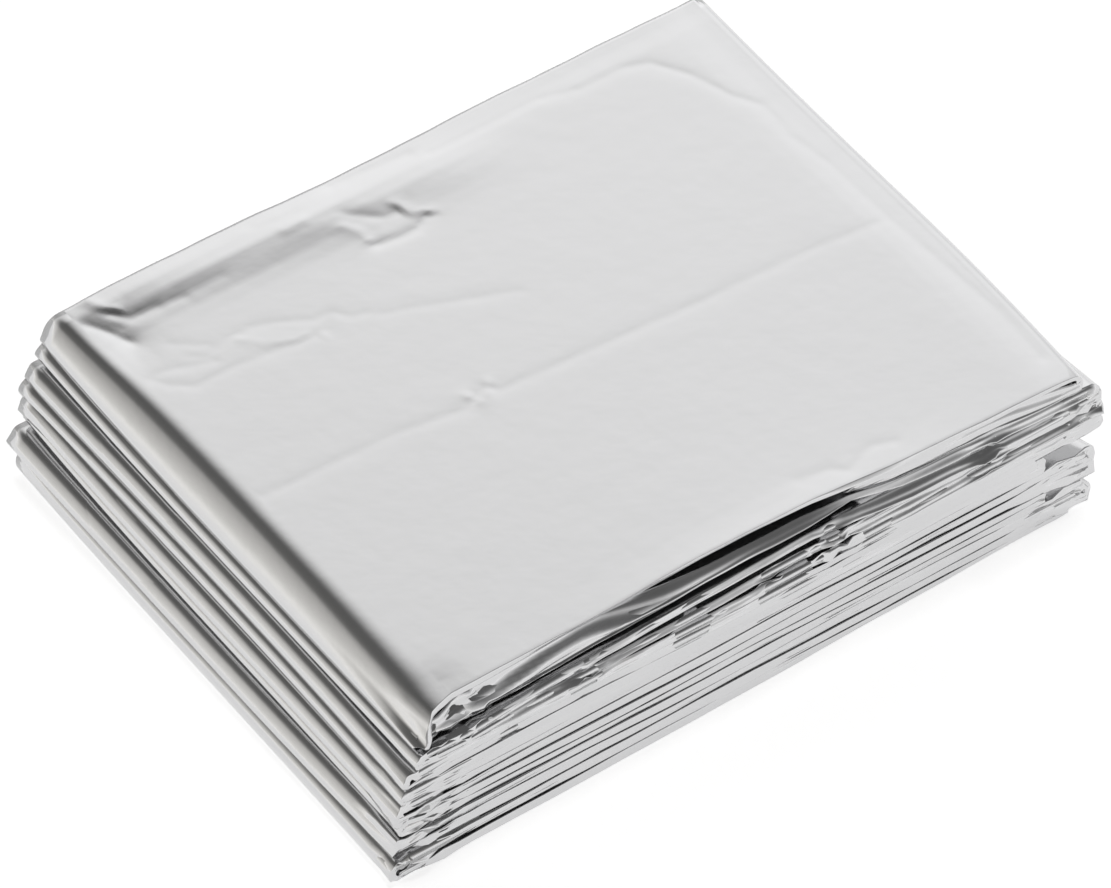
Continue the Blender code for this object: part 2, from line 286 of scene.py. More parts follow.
# Crumpled spots of the edges: place along X and Z, reach and height, in millimetres
Crumple = namedtuple("Crumple", "x z reach height")
FRONT_CRUMPLES = (
    Crumple(-56.0, 25.5, 4.5, 0.30),
    Crumple(-50.0, 26.0, 4.0, 0.40),
    Crumple(-58.0, 11.5, 4.5, 0.45),
    Crumple(-60.0, 17.5, 3.5, 0.35),
    Crumple(-61.0, 3.0, 5.0, 0.80),
    Crumple(-59.0, 7.5, 3.6, 0.55),
    Crumple(-30.0, 21.6, 2.4, 0.45),
    Crumple(4.0, 20.6, 2.2, 0.50),
    Crumple(15.6, 21.6, 3.2, 0.65),
    Crumple(44.6, 23.0, 3.4, 0.60),
    Crumple(63.5, 23.0, 4.0, 0.42),
    Crumple(57.0, 16.2, 2.6, 0.80),
    Crumple(61.0, 15.2, 2.6, 0.80),
    Crumple(61.0, 10.0, 3.5, 0.70),
    Crumple(61.0, 4.5, 4.0, 0.75),
)
# Height that the crumples stay below, and the film's least height over the surface it lies on
TOP_CLEAR = 0.0292
FLOOR_CLEAR = 0.00005
# Sizes of the crumples' facets, and the shares of their height that go along X, Y and Z
FACET_SIZES = (0.0009, 0.0014)
FACET_SHARES = (0.5, 0.8, 0.5)

# How finely the sheet is cut
STATIONS = 49
TUCKED_ROWS = 8
TOP_ROWS = 50
FAN_ROWS = 14
PANEL_ROWS = 8
TOP_FOLD_ROWS = 32
LEFT_FOLD_ROWS = 12
RIGHT_FOLD_ROWS = 7
FOLD_SAMPLES = 60
TOP_LEAF_COLUMNS = 36
SPINE_COLUMNS = 18
TOP_CUTS = 3
SPINE_CUTS = 5
# Mark over which a point is on the top leaf, and length over which an edge along the front fold is cut
TOP_ONLY = 0.98
LONG_EDGE = 0.005

# Fine wrinkles of the film's finish: distance between them and height
WRINKLE_PITCH = 0.00385
WRINKLE_HEIGHT = 0.0002

# The room's light: between two heights of a direction on the unit sphere it goes from one brightness to
# another, on the walls, beside the floor's horizon and overhead
Band = namedtuple("Band", "start end start_light end_light")
WALLS = Band(0.05, 0.62, 0.88, 0.16)
HORIZON = Band(0.09, 0.01, 0.00, 0.65)
ZENITH = Band(0.62, 0.95, 0.00, -0.05)
# The softbox: its direction, the angles in degrees over which it fades out, and its brightness
SOFTBOX_TOWARD = Vector((0.50, 0.66, 0.56))
SOFTBOX_FADE = (4.0, 40.0)
SOFTBOX_LIGHT = 1.14
# The room's warm side: its colour, and the directions' X between which it turns neutral
WARM_WHITE = "#FFFDF8"
WARM_SIDE = (-0.8, 0.5)

# Half side of the floor, and the lamp's side, height and power
FLOOR_REACH = 3.0
LAMP_SIDE = 0.5
LAMP_HEIGHT = 2.0
LAMP_POWER = 8.0
# What the camera looks at, and how far the middle of its view lies to the right of that and below it
LOOK_AT = Vector((0.00025, 0.00155, 0.0155))
VIEW_RIGHT = 0.00091
VIEW_DOWN = 0.00463


def linear(colour):
    """Linear light values of an sRGB hex colour such as #D8D8D8."""
    parts = [int(colour[i:i + 2], 16) / 255 for i in (1, 3, 5)]
    return tuple(c / 12.92 if c <= 0.04045 else ((c + 0.055) / 1.055) ** 2.4 for c in parts)


def node(tree, kind, links=None, **settings):
    """Add a node with its settings and links.

    A setting named in_NAME or in_NUMBER fills an input. Links map an input to another node's output.
    """
    new = tree.nodes.new(kind)
    for name, value in settings.items():
        if name.startswith("in_"):
            key = name[3:]
            new.inputs[int(key) if key.isdigit() else key.replace("_", " ")].default_value = value
        else:
            setattr(new, name, value)
    for key, output in (links or {}).items():
        tree.links.new(output, new.inputs[key])
    return new


# Strip section

def along_strip(share, back, middle, front):
    """Blend three values along the strip's width; share is -1 at the front and 1 at the back."""
    end = back if share > 0.0 else front
    return middle + (end - middle) * abs(share) ** END_BLEND_POWER


def stack_levels(folds, share, floor, loose_top):
    """Upper and lower surface of each fold, from the packet's top down."""
    heights = [fold.height * MM for fold in folds]
    gaps = [along_strip(share, fold.back_gap, fold.gap, fold.front_gap) * MM for fold in folds]
    spare = PACK_HEIGHT - floor - sum(heights) - sum(gaps)
    if loose_top:
        heights[0] += spare
    else:
        gaps[1:] = [gap + spare / (len(folds) - 1) for gap in gaps[1:]]
    levels = []
    top = PACK_HEIGHT
    for height, gap in zip(heights, gaps):
        top -= gap
        levels.append((top, top - height))
        top -= height
    return levels


def resample(points, count):
    """The same line with evenly spaced points."""
    points = np.array(points)
    length = np.concatenate(([0.0], np.cumsum(np.linalg.norm(np.diff(points, axis=0), axis=1))))
    even = np.linspace(0.0, length[-1], count)
    return np.column_stack([np.interp(even, length, points[:, i]) for i in range(2)])


def walk(headings, length):
    """Points of a line that turns down through the headings over its length."""
    step = length / (len(headings) - 1)
    middle = (headings[1:] + headings[:-1]) / 2
    return step * np.cumsum(np.column_stack((np.cos(middle), -np.sin(middle))), axis=0)


def fold_line(fold, top, bottom, share, side, rows, soft):
    """Middle line of the strip round one fold, from its upper panel to its lower one.

    A soft bend turns down to the sloping face, which curls a little, and a nose turns back under.
    """
    upper = top - STRIP_THICKNESS / 2
    rise = top - bottom - STRIP_THICKNESS
    bend = min(fold.bend * MM, rise / 2)
    slope = math.radians(min(fold.slope, SHEET_SLOPE))
    curl = math.radians(TOP_FACE_CURL if fold is LEFT_FOLDS[0] else FACE_CURL)
    nose_share = ROUND_NOSE_SHARE if fold.bend > ROUND_BEND else NOSE_SHARE
    part = np.linspace(0.0, 1.0, FOLD_SAMPLES)
    entry = walk((slope - curl) * part ** 2, bend * slope * soft)
    nose = walk(slope + curl + (math.pi - slope - curl) * part, bend * nose_share * (math.pi - slope - curl))
    drop = -entry[-1, 1] - nose[-1, 1]
    if drop > rise:
        entry *= rise / drop
        nose *= rise / drop
        drop = rise
    face_headings = slope + curl * (2 * part - 1)
    face = walk(face_headings, (rise - drop) / np.sin(face_headings).mean())
    face *= np.array((1.0, (rise - drop) / max(-face[-1, 1], 1e-9)))
    face += entry[-1]
    nose += face[-1]
    points = resample(np.vstack(((0.0, 0.0), entry, face, nose)), rows)
    reach = points[:, 0].max()
    inset = along_strip(share, fold.back_inset, fold.inset, fold.front_inset) * MM
    plane = LEFT_PLANE if side < 0 else RIGHT_PLANE
    nose = plane - side * (inset + STRIP_THICKNESS / 2)
    return np.column_stack((nose - side * (reach - points[:, 0]), upper + points[:, 1]))


def between(start, end, steps):
    """Points between two folds, without the ends."""
    part = np.linspace(0.0, 1.0, steps + 1)[1:-1, None]
    return start + (end - start) * part


def middle_line(share):
    """Middle line of the strip at one section, and the panel number at each of its points."""
    left = stack_levels(LEFT_FOLDS, share, 0.0, loose_top=True)
    right = stack_levels(RIGHT_FOLDS, share, STRIP_THICKNESS + LAYER_GAP, loose_top=False)
    folds = []
    for row in range(len(LEFT_FOLDS)):
        soft = along_strip(share, *TOP_BEND_SOFTNESS) if row == 0 else FOLD_SOFTNESS
        folds.append(fold_line(RIGHT_FOLDS[row], *right[row], share, 1, RIGHT_FOLD_ROWS, FOLD_SOFTNESS))
        rows = TOP_FOLD_ROWS if row == 0 else LEFT_FOLD_ROWS
        folds.append(fold_line(LEFT_FOLDS[row], *left[row], share, -1, rows, soft))
    folds[0] = folds[0][::-1]
    tucked = np.array((TUCKED_END_X, folds[0][0][1] - TUCKED_END_DROP))
    bottom = np.array((BOTTOM_END_X, STRIP_THICKNESS / 2))
    runs = [tucked[None], between(tucked, folds[0][0], TUCKED_ROWS)]
    panels = [np.zeros(TUCKED_ROWS)]
    for number, fold in enumerate(folds):
        steps = TOP_ROWS if number == 0 else FAN_ROWS if number < 5 else PANEL_ROWS
        target = folds[number + 1][0] if number + 1 < len(folds) else bottom
        runs += [fold, between(fold[-1], target, steps)]
        panels += [np.linspace(number, number + 1, len(fold)), np.full(steps - 1, number + 1.0)]
    runs.append(bottom[None])
    panels.append([float(len(folds))])
    return np.vstack(runs), np.concatenate(panels)


def edge_out(x, panels, back):
    """How far the strip's back or front edge stands out at each of its points."""
    left_row = np.clip(np.floor((panels + 1) / 2).astype(int) - 1, 0, len(LEFT_FOLDS) - 1)
    right_row = np.clip(np.floor(panels / 2).astype(int), 0, len(RIGHT_FOLDS) - 1)
    left = np.array([fold.back_out if back else fold.front_out for fold in LEFT_FOLDS])[left_row]
    right = np.array([fold.back_out if back else fold.front_out for fold in RIGHT_FOLDS])[right_row]
    part = np.clip((x - LEFT_PLANE) / (RIGHT_PLANE - LEFT_PLANE), 0.0, 1.0)
    out = (left + (right - left) * part) * MM
    if not back:
        near_panel = np.clip(1.0 - np.abs(panels - np.round(panels)) * 2, 0.0, 1.0)
        out += place_table(FRONT_OUTS, np.round(panels).astype(int), x) * near_panel * MM
    return out


def leaf_side(points):
    """Unit normals of a middle line, to the side that faces up on the top panel."""
    step = np.diff(points, axis=0)
    step /= np.linalg.norm(step, axis=1)[:, None]
    tangent = np.vstack((step[:1], step[:-1] + step[1:], step[-1:]))
    tangent /= np.linalg.norm(tangent, axis=1)[:, None]
    return np.column_stack((tangent[:, 1], -tangent[:, 0]))


# Leaves across the strip

def leaf_order(halvings):
    """Place of each leaf in the stack, from the outer face, after folding the sheet in half again and
    again. Leaves are counted along the sheet's width."""
    stacks = [[leaf] for leaf in range(2 ** halvings)]
    while len(stacks) > 1:
        half = len(stacks) // 2
        stacks = [stacks[-1 - i][::-1] + stacks[i] for i in range(half)]
    place = [0] * 2 ** halvings
    for position, leaf in enumerate(stacks[0]):
        place[leaf] = position
    return place


Column = namedtuple("Column", "share out depth width_m top spine")


def leaf_columns(halvings, sheet_width):
    """Columns of the sheet, across the strip.

    Each has its share of the half width, how far it bulges past the strip's edge, its depth from the
    middle line as a share of the thickness, its place on the flat sheet, 1 on the top leaf, and how far
    round the outermost front fold it is, from 0 to 1, or -1 elsewhere.
    """
    place = leaf_order(halvings)
    leaves = len(place)
    depth = [0.5 - (position + 0.5) / leaves for position in place]
    leaf_width = sheet_width / leaves
    columns = []
    for leaf in range(leaves):
        start, end = (1.0, -1.0) if leaf % 2 == 0 else (-1.0, 1.0)
        outer = place[leaf] == 0
        parts = [0.0, (1 - SPREAD_START) / 2, 0.5, (1 + SPREAD_START) / 2, 1.0]
        if outer:
            parts = np.linspace(0.0, 1.0, TOP_LEAF_COLUMNS + 2)
        for part in parts:
            share = start + (end - start) * part
            front = abs(share + 1.0) < 1e-6
            spine = -1.0
            if front and place[leaf] in (0, leaves - 1):
                spine = 0.0 if outer else 1.0
            columns.append(Column(share, 0.0, depth[leaf], (leaf + part) * leaf_width, float(outer), spine))
        if leaf + 1 < leaves:
            radius = abs(depth[leaf] - depth[leaf + 1]) / 2
            middle = (depth[leaf] + depth[leaf + 1]) / 2
            sign = math.copysign(1.0, depth[leaf] - depth[leaf + 1])
            outermost = {place[leaf], place[leaf + 1]} == {0, leaves - 1}
            steps = SPINE_COLUMNS if outermost else 1
            for turn in np.linspace(0.0, 1.0, steps + 2)[1:-1]:
                bulge = radius * math.sin(math.pi * turn) ** SPINE_BLUNTNESS
                level = middle + sign * radius * math.cos(math.pi * turn)
                spine = -1.0
                if outermost:
                    spine = turn if sign > 0 else 1.0 - turn
                columns.append(Column(end, bulge, level, (leaf + 1) * leaf_width, 0.0, spine))
    return columns


# Shapes pressed into the panels

def top_relief(x, y):
    """Height that the pressed shapes add to the top panel at each place."""
    total = np.zeros_like(x)
    for shape in TOP_SHAPES:
        along = x / MM - shape.x
        across = y / MM - shape.y - shape.drift * along
        total += shape.height * np.exp(-((along / shape.long) ** 2) - (across / shape.wide) ** 2)
    return total * MM


def crease_relief(x, y):
    """Height that the creases add to the top panel at each place."""
    total = np.zeros_like(x)
    for crease in TOP_CREASES:
        start = np.array((crease.x1, crease.y1))
        run = np.array((crease.x2, crease.y2)) - start
        away = np.column_stack((x, y)) / MM - start
        part = np.clip(away @ run / (run @ run), 0.0, 1.0)
        distance = np.linalg.norm(away - part[:, None] * run, axis=1)
        shape = crease.height * np.exp(-distance / crease.wide)
        total = np.where(np.abs(shape) > np.abs(total), shape, total)
    return total * MM


def hollow_sag(x, y, panel):
    """How far a panel drops at the front edge's hollow."""
    along = (x - HOLLOW_X) / HOLLOW_HALF_LENGTH
    behind_edge = (y + STRIP_WIDTH / 2) / HOLLOW_DEPTH
    sag = np.interp(panel, range(len(HOLLOW_SAG)), HOLLOW_SAG) * MM
    return sag * np.exp(-along ** 2 - behind_edge ** 2)


def wander(x, panels, seed, waves):
    """Smooth, uneven values along X that differ from panel to panel."""
    rng = np.random.default_rng(seed)
    phases = rng.uniform(0.0, 2 * math.pi, (len(waves), PANELS + 1))
    low = np.clip(np.floor(panels).astype(int), 0, PANELS - 1)
    part = panels - low
    total = np.zeros_like(x)
    for (length, height), phase in zip(waves, phases):
        turn = 2 * math.pi * x / length
        total += height * ((1 - part) * np.sin(turn + phase[low]) + part * np.sin(turn + phase[low + 1]))
    return total


def calm(panels):
    """Share of the uneven shapes that each panel's front fold has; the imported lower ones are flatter."""
    return np.interp(panels, CALM_PANELS, CALM_SHARES)


def free_space(x, z):
    """Distance from each point of a section straight up and straight down to the strip's next part."""
    run = np.concatenate(([0.0], np.cumsum(np.hypot(np.diff(x), np.diff(z)))))
    span = np.diff(x)
    span = np.where(np.abs(span) < 1e-9, 1e-9, span)
    part = (x[:, None] - x[None, :-1]) / span[None]
    gap = z[None, :-1] + part * np.diff(z)[None] - z[:, None]
    away = np.minimum(abs(run[:, None] - run[None, :-1]), abs(run[:, None] - run[None, 1:]))
    crossed = (part >= 0.0) & (part <= 1.0) & (away > 1.5 * STRIP_THICKNESS)
    above = np.where(crossed & (gap > 0), gap, np.inf).min(axis=1)
    below = np.where(crossed & (gap < 0), -gap, np.inf).min(axis=1)
    return above, below


def place_table(table, rows, x):
    """Value of a table at each point, from its row there and its place along X, or 0 past the last row."""
    values = np.array([np.interp(x / MM, GAP_PLACES, row) for row in table])
    inside = rows < len(table)
    return np.where(inside, values[np.minimum(rows, len(table) - 1), np.arange(len(x))], 0.0)


def on_top(panels):
    """1 on the top panel, and less round the folds beside it."""
    return np.clip(1.0 - np.abs(panels - 1.0), 0.0, 1.0)


def spread_halves(line, side, panels, front):
    """Half thickness of the strip above and below its middle line where its leaves spread apart."""
    x, z = line[:, 0], line[:, 1]
    y = np.full(len(x), -STRIP_WIDTH / 2 if front else STRIP_WIDTH / 2)
    z = z + top_relief(x, y) * on_top(panels) - hollow_sag(x, y, panels)
    number = np.round(panels).astype(int)
    halves = []
    under_top = (number == 0) | ((number == 2) & (x < TUCKED_END_X))
    shares = (np.where(under_top, 1 - TOP_GAP_SPLIT, 0.5), np.where(number == 1, TOP_GAP_SPLIT, 0.5))
    for space, gap, share in zip(free_space(x, z), (number - 1, number), shares):
        room = space * share - GAP_CLEARANCE
        room = np.where(np.isfinite(room), np.minimum(room, THICKEST_HALF), STRIP_THICKNESS / 2)
        if front:
            still_open = place_table(FRONT_GAPS, np.clip(gap - 1, 0, len(FRONT_GAPS) - 1), x)
        else:
            still_open = BACK_GAP
        half = room + (THINNEST_HALF - room) * still_open
        half = np.where(np.isfinite(space), half, STRIP_THICKNESS / 2)
        level = side[:, 1] ** 2
        halves.append(STRIP_THICKNESS / 2 + (half - STRIP_THICKNESS / 2) * level)
    return halves


Strip = namedtuple("Strip", "shares lines sides panels halves outs")


def strip_sections():
    """Middle lines of the strip from its front edge to its back, and how both edges spread and stand out."""
    shares = np.sin(np.linspace(-1.0, 1.0, STATIONS) * math.pi / 2)
    lines, sides = [], []
    for share in shares:
        points, panels = middle_line(share)
        lines.append(points)
        sides.append(leaf_side(points))
    halves = {end: spread_halves(lines[end], sides[end], panels, end == 0) for end in (0, -1)}
    outs = {end: edge_out(lines[end][:, 0], panels, end == -1) for end in (0, -1)}
    return Strip(shares, np.array(lines), np.array(sides), panels, halves, outs)


def front_lean(panels, x):
    """How far the strip's front edge leans back at each of its points, as a slope."""
    uneven = wander(x, panels, SEED + 1, LEAN_WAVES) * calm(panels)
    return uneven + place_table(FRONT_LEANS, np.round(panels).astype(int), x)


def column_points(column, strip):
    """Points of one column of the sheet, and how thick the strip is at its edge, as a share."""
    at = np.interp(column.share, strip.shares, np.arange(STATIONS))
    low = min(int(at), STATIONS - 2)
    blend = at - low
    line = strip.lines[low] * (1 - blend) + strip.lines[low + 1] * blend
    side = strip.sides[low] * (1 - blend) + strip.sides[low + 1] * blend
    end = 0 if column.share < 0 else -1
    spread = max(0.0, (abs(column.share) - SPREAD_START) / (1 - SPREAD_START))
    up, down = strip.halves[end]
    half = np.where(column.depth * side[:, 1] > 0, up, down)
    half = STRIP_THICKNESS / 2 + (half - STRIP_THICKNESS / 2) * spread
    depth = column.depth
    if not column.top:
        depth -= OUTER_LEAF_CLEAR * (column.depth + 0.5) * (1 - spread)
    offset = side * (depth * 2 * half)[:, None]
    lean = spread * front_lean(strip.panels, line[:, 0]) if end == 0 else 0.0
    reach = abs(column.share) * (STRIP_WIDTH / 2 + strip.outs[end]) + column.out * SPINE_BULGE * (up + down)
    x = line[:, 0] + offset[:, 0]
    y = math.copysign(1.0, column.share) * reach + lean * offset[:, 1]
    z = line[:, 1] + offset[:, 1]
    z = z + top_relief(x, y) * on_top(strip.panels) - hollow_sag(x, y, strip.panels)
    if not column.top:
        z = z - TOP_SINK * on_top(strip.panels) * (1 - spread)
    near_end = np.clip(1.0 - np.abs(strip.panels - END_PLACE) / END_SPAN, 0.0, 1.0)
    near_end *= math.exp(-(1 + column.share) * STRIP_WIDTH / 2 / END_LENGTH)
    points = np.column_stack((x, y - END_REACH_OUT * near_end, z - END_DROOP * near_end))
    return points, (up + down) / STRIP_THICKNESS


# Marks of each point: its panel, 1 on the top leaf, its place round the outermost front fold, its share of
# the half width and the strip's thickness at its edge, as a share
MARKS = ("panel", "top", "spine", "share", "tall")


def sheet_grid(sizes):
    """Points of the folded sheet as rows along the strip and columns across it, with their flat places
    and their marks."""
    strip = strip_sections()
    run = np.linalg.norm(np.diff(strip.lines[STATIONS // 2], axis=0), axis=1)
    length = np.concatenate(([0.0], np.cumsum(run)))
    length *= sizes.sheet_length / length[-1]
    same = np.ones(len(length))
    grid, flat, marks = [], [], []
    for column in leaf_columns(sizes.halvings, sizes.sheet_width):
        points, tall = column_points(column, strip)
        top = column.top * on_top(strip.panels)
        grid.append(points)
        flat.append(np.column_stack((column.width_m * same, length)))
        marks.append(np.column_stack((strip.panels, top, column.spine * same, column.share * same, tall)))
    return [np.stack(values, axis=1) for values in (grid, flat, marks)]


def grid_mesh(grid, flat, marks):
    """A mesh of the grid with its flat places as a UV map and its marks as layers."""
    rows, columns = grid.shape[:2]
    mesh = bmesh.new()
    layers = [mesh.verts.layers.float.new(name) for name in MARKS]
    verts = []
    for point, values in zip(grid.reshape(-1, 3), marks.reshape(-1, len(MARKS))):
        vert = mesh.verts.new(point)
        for layer, value in zip(layers, values):
            vert[layer] = value
        verts.append(vert)
    uv = mesh.loops.layers.uv.new("film")
    places = flat.reshape(-1, 2)
    for r in range(rows - 1):
        for c in range(columns - 1):
            low = r * columns + c
            corners = (low, low + columns, low + columns + 1, low + 1)
            face = mesh.faces.new([verts[i] for i in corners])
            face.smooth = True
            for loop, i in zip(face.loops, corners):
                loop[uv].uv = places[i]
    return mesh


def refine(mesh):
    """Cut the top leaf and the outermost front fold more finely."""
    panel, top, spine = (mesh.verts.layers.float[name] for name in MARKS[:3])
    edges = [edge for edge in mesh.edges if all(vert[top] > TOP_ONLY for vert in edge.verts)]
    bmesh.ops.subdivide_edges(mesh, edges=edges, cuts=TOP_CUTS, use_grid_fill=True)
    runs = []
    for edge in mesh.edges:
        a, b = edge.verts
        along_panel = a[panel] == b[panel] and a[panel] != 1.0
        on_spine = a[spine] >= 0.0 and b[spine] == a[spine]
        if along_panel and on_spine and edge.calc_length() > LONG_EDGE:
            runs.append(edge)
    bmesh.ops.subdivide_edges(mesh, edges=runs, cuts=SPINE_CUTS, use_grid_fill=True)


def crumple(points, share, spots):
    """Push points near the front edge about in sharp little facets."""
    moved = points.copy()
    near = np.clip((-share - SPREAD_START) / (1 - SPREAD_START), 0.0, 1.0)
    rng = np.random.default_rng(SEED + 4)
    for spot in spots:
        away = np.hypot(points[:, 0] / MM - spot.x, points[:, 2] / MM - spot.z)
        below_top = np.clip((TOP_CLEAR - points[:, 2]) / MM, 0.0, 1.0)
        weight = np.exp(-((away / spot.reach) ** 2)) * near * below_top * spot.height * MM
        for axis, part in enumerate(FACET_SHARES):
            facet = np.zeros(len(points))
            for size in FACET_SIZES:
                heading = rng.normal(size=3)
                heading /= np.linalg.norm(heading)
                turn = points @ heading / size + rng.uniform(0, 2)
                facet += np.abs(turn % 2 - 1) * 2 - 1
            moved[:, axis] += weight * facet * part
    return moved


def shape_edges(points, panels, spine, share, tall):
    """Let the strip's long edges wander, and give the front folds fine ridges."""
    x = points[:, 0].copy()
    near = np.clip((np.abs(share) - SPREAD_START) / (1 - SPREAD_START), 0.0, 1.0)
    drift = wander(x, panels, SEED + 2, EDGE_WAVES) * calm(panels)
    points[:, 1] -= np.sign(points[:, 1]) * near * drift
    level = np.sin(math.pi * np.clip(points[:, 2] / PACK_HEIGHT, 0.0, 1.0))
    same = np.zeros_like(panels)
    points[:, 2] += near * level * wander(x, same, SEED + 3, STACK_WAVES)
    here = np.interp(x, RAGGED_PLACES, (0.0, 1.0, 1.0, 0.0)) * np.exp(-((panels - RAGGED_PANEL) ** 2))
    jag = wander(x, same + 1, SEED + 7, RAGGED_WAVES) * here * near * (share < 0)
    points[:, 2] += jag
    points[:, 1] -= jag
    for number, (length, height) in enumerate(FACE_WAVES):
        drift = wander(x, same + number, SEED + 6, FACE_DRIFTS)
        wave = np.sin(2 * math.pi * points[:, 2] / length + drift + number)
        points[:, 1] -= np.sign(points[:, 1]) * near * height * wave
    on_fold = spine >= 0.0
    turn = np.clip(spine, 0.0, 1.0)
    phase = wander(x, panels, SEED + 5, RIDGE_DRIFTS)
    ridge = np.sin(math.pi * turn) * np.sin(2 * math.pi * (RIDGES * turn + phase))
    height = RIDGE_HEIGHT * calm(panels) * np.clip(tall - RIDGE_FROM, 0.0, RIDGE_MOST) ** RIDGE_GROWTH
    points[:, 1] -= np.where(on_fold, ridge * height, 0.0)
    return crumple(points, share, FRONT_CRUMPLES)


def finish_shape(mesh):
    """Move the refined points onto the film's fine shapes. Creases fade out before the top leaf's edge."""
    verts = list(mesh.verts)
    layers = [mesh.verts.layers.float[name] for name in MARKS]
    points = np.array([vert.co for vert in verts])
    panels, top, spine, share, tall = (np.array([vert[layer] for vert in verts]) for layer in layers)
    points = shape_edges(points, panels, spine, share, tall)
    points[:, 2] = np.maximum(points[:, 2], FLOOR_CLEAR)
    points[:, 2] += crease_relief(points[:, 0], points[:, 1]) * np.clip(top * 4 - 2, 0.0, 1.0)
    for vert, point in zip(verts, points):
        vert.co = point


# Properties

class FilmSheetSizes(bpy.types.PropertyGroup):
    """Sizes of the flat sheet and how often it is folded."""

    sheet_width: bpy.props.FloatProperty(
        name="Sheet Width", description="Width of the flat sheet", default=1.6, unit="LENGTH")
    sheet_length: bpy.props.FloatProperty(
        name="Sheet Length", description="Length of the flat sheet", default=2.1, unit="LENGTH")
    halvings: bpy.props.IntProperty(
        name="Halvings", description="How often the width is folded in half", default=4, min=1, max=5)


class FilmFinish(bpy.types.PropertyGroup):
    """Look of the metallised film."""

    silver: bpy.props.FloatVectorProperty(
        name="Silver", description="Colour of the aluminium coat", subtype="COLOR", size=3,
        default=linear("#D0D0D1"), min=0.0, max=1.0)
    roughness: bpy.props.FloatProperty(
        name="Roughness", description="Softness of the film's reflections", default=0.2, min=0.0, max=1.0)
    crinkle_height: bpy.props.FloatProperty(
        name="Crinkle Height", description="Height of the film's fine crinkle", default=0.000035,
        unit="LENGTH")
    crinkle_size: bpy.props.FloatProperty(
        name="Crinkle Size", description="Width of one crinkle", default=0.009, unit="LENGTH")


class StudioSettings(bpy.types.PropertyGroup):
    """Camera, floor and light."""

    azimuth: bpy.props.FloatProperty(
        name="Azimuth", description="Camera's turn round the packet", default=math.radians(-35.2),
        subtype="ANGLE")
    elevation: bpy.props.FloatProperty(
        name="Elevation", description="Camera's height above the level", default=math.radians(45.8),
        subtype="ANGLE")
    distance: bpy.props.FloatProperty(
        name="Distance", description="From the camera to the packet", default=1.237, unit="LENGTH")
    field_width: bpy.props.FloatProperty(
        name="Field Width", description="Width of the view at the packet", default=0.1692,
        unit="LENGTH")
    floor_colour: bpy.props.FloatVectorProperty(
        name="Floor Colour", description="Colour of the pale floor", subtype="COLOR", size=3,
        default=linear("#E0E0E0"), min=0.0, max=1.0)
    floor_glow: bpy.props.FloatProperty(
        name="Floor Glow", description="Light from below the floor", default=0.68, min=0.0)


# Materials

def film_material(finish):
    """Polyester film with a vacuum-coated aluminium face: mirror bright, softened by fine crinkles."""
    material = bpy.data.materials.new("aluminised_polyester_film")
    material.use_nodes = True
    tree = material.node_tree
    tree.nodes.clear()
    shader = node(tree, "ShaderNodeBsdfPrincipled", in_Metallic=1.0)
    shader.inputs["Base Color"].default_value = (*finish.silver, 1.0)
    shader.inputs["Roughness"].default_value = finish.roughness
    place = node(tree, "ShaderNodeTexCoord")
    crinkle = node(tree, "ShaderNodeTexNoise", {"Vector": place.outputs["Object"]},
                   in_Scale=1 / WRINKLE_PITCH, in_Detail=3.0, in_Roughness=0.55)
    bump = node(tree, "ShaderNodeBump", {"Height": crinkle.outputs["Fac"]},
                in_Strength=0.13, in_Distance=WRINKLE_HEIGHT)
    tree.links.new(bump.outputs["Normal"], shader.inputs["Normal"])
    node(tree, "ShaderNodeOutputMaterial", {"Surface": shader.outputs["BSDF"]})
    return material


def floor_material(colour, glow):
    """Matt white acrylic, lit from below like a light table."""
    material = bpy.data.materials.new("lit_white_acrylic")
    material.use_nodes = True
    shader = material.node_tree.nodes["Principled BSDF"]
    shader.inputs["Base Color"].default_value = (*colour, 1.0)
    shader.inputs["Roughness"].default_value = 0.9
    shader.inputs["Emission Color"].default_value = (1.0, 1.0, 1.0, 1.0)
    shader.inputs["Emission Strength"].default_value = glow
    return material


# Film crinkle

def crinkle_tree(material):
    """Nodes that move the film up and down by a fine, random crinkle."""
    tree = bpy.data.node_groups.new("film_crinkle", "GeometryNodeTree")
    face = tree.interface
    face.new_socket("Film", in_out="INPUT", socket_type="NodeSocketGeometry")
    for name in ("Height", "Size", "Seed"):
        face.new_socket(name, in_out="INPUT", socket_type="NodeSocketFloat")
    face.new_socket("Film", in_out="OUTPUT", socket_type="NodeSocketGeometry")
    given = node(tree, "NodeGroupInput").outputs
    place = node(tree, "GeometryNodeInputPosition").outputs[0]
    pitch = node(tree, "ShaderNodeMath", {1: given["Size"]}, operation="DIVIDE", in_0=1.0).outputs[0]
    noise = node(tree, "ShaderNodeTexNoise", {"Vector": place, "W": given["Seed"], "Scale": pitch},
                 noise_dimensions="4D", in_Detail=2.0, in_Roughness=0.5).outputs[0]
    centred = node(tree, "ShaderNodeMath", {0: noise}, operation="SUBTRACT", in_1=0.5).outputs[0]
    height = node(tree, "ShaderNodeMath", {0: centred, 1: given["Height"]}, operation="MULTIPLY").outputs[0]
    move = node(tree, "ShaderNodeCombineXYZ", {"Z": height}).outputs[0]
    moved = node(tree, "GeometryNodeSetPosition", {"Geometry": given["Film"], "Offset": move}).outputs[0]
    real = node(tree, "GeometryNodeRealizeInstances", {"Geometry": moved}).outputs[0]
    coated = node(tree, "GeometryNodeSetMaterial", {"Geometry": real}, in_Material=material).outputs[0]
    node(tree, "NodeGroupOutput", {"Film": coated})
    return tree


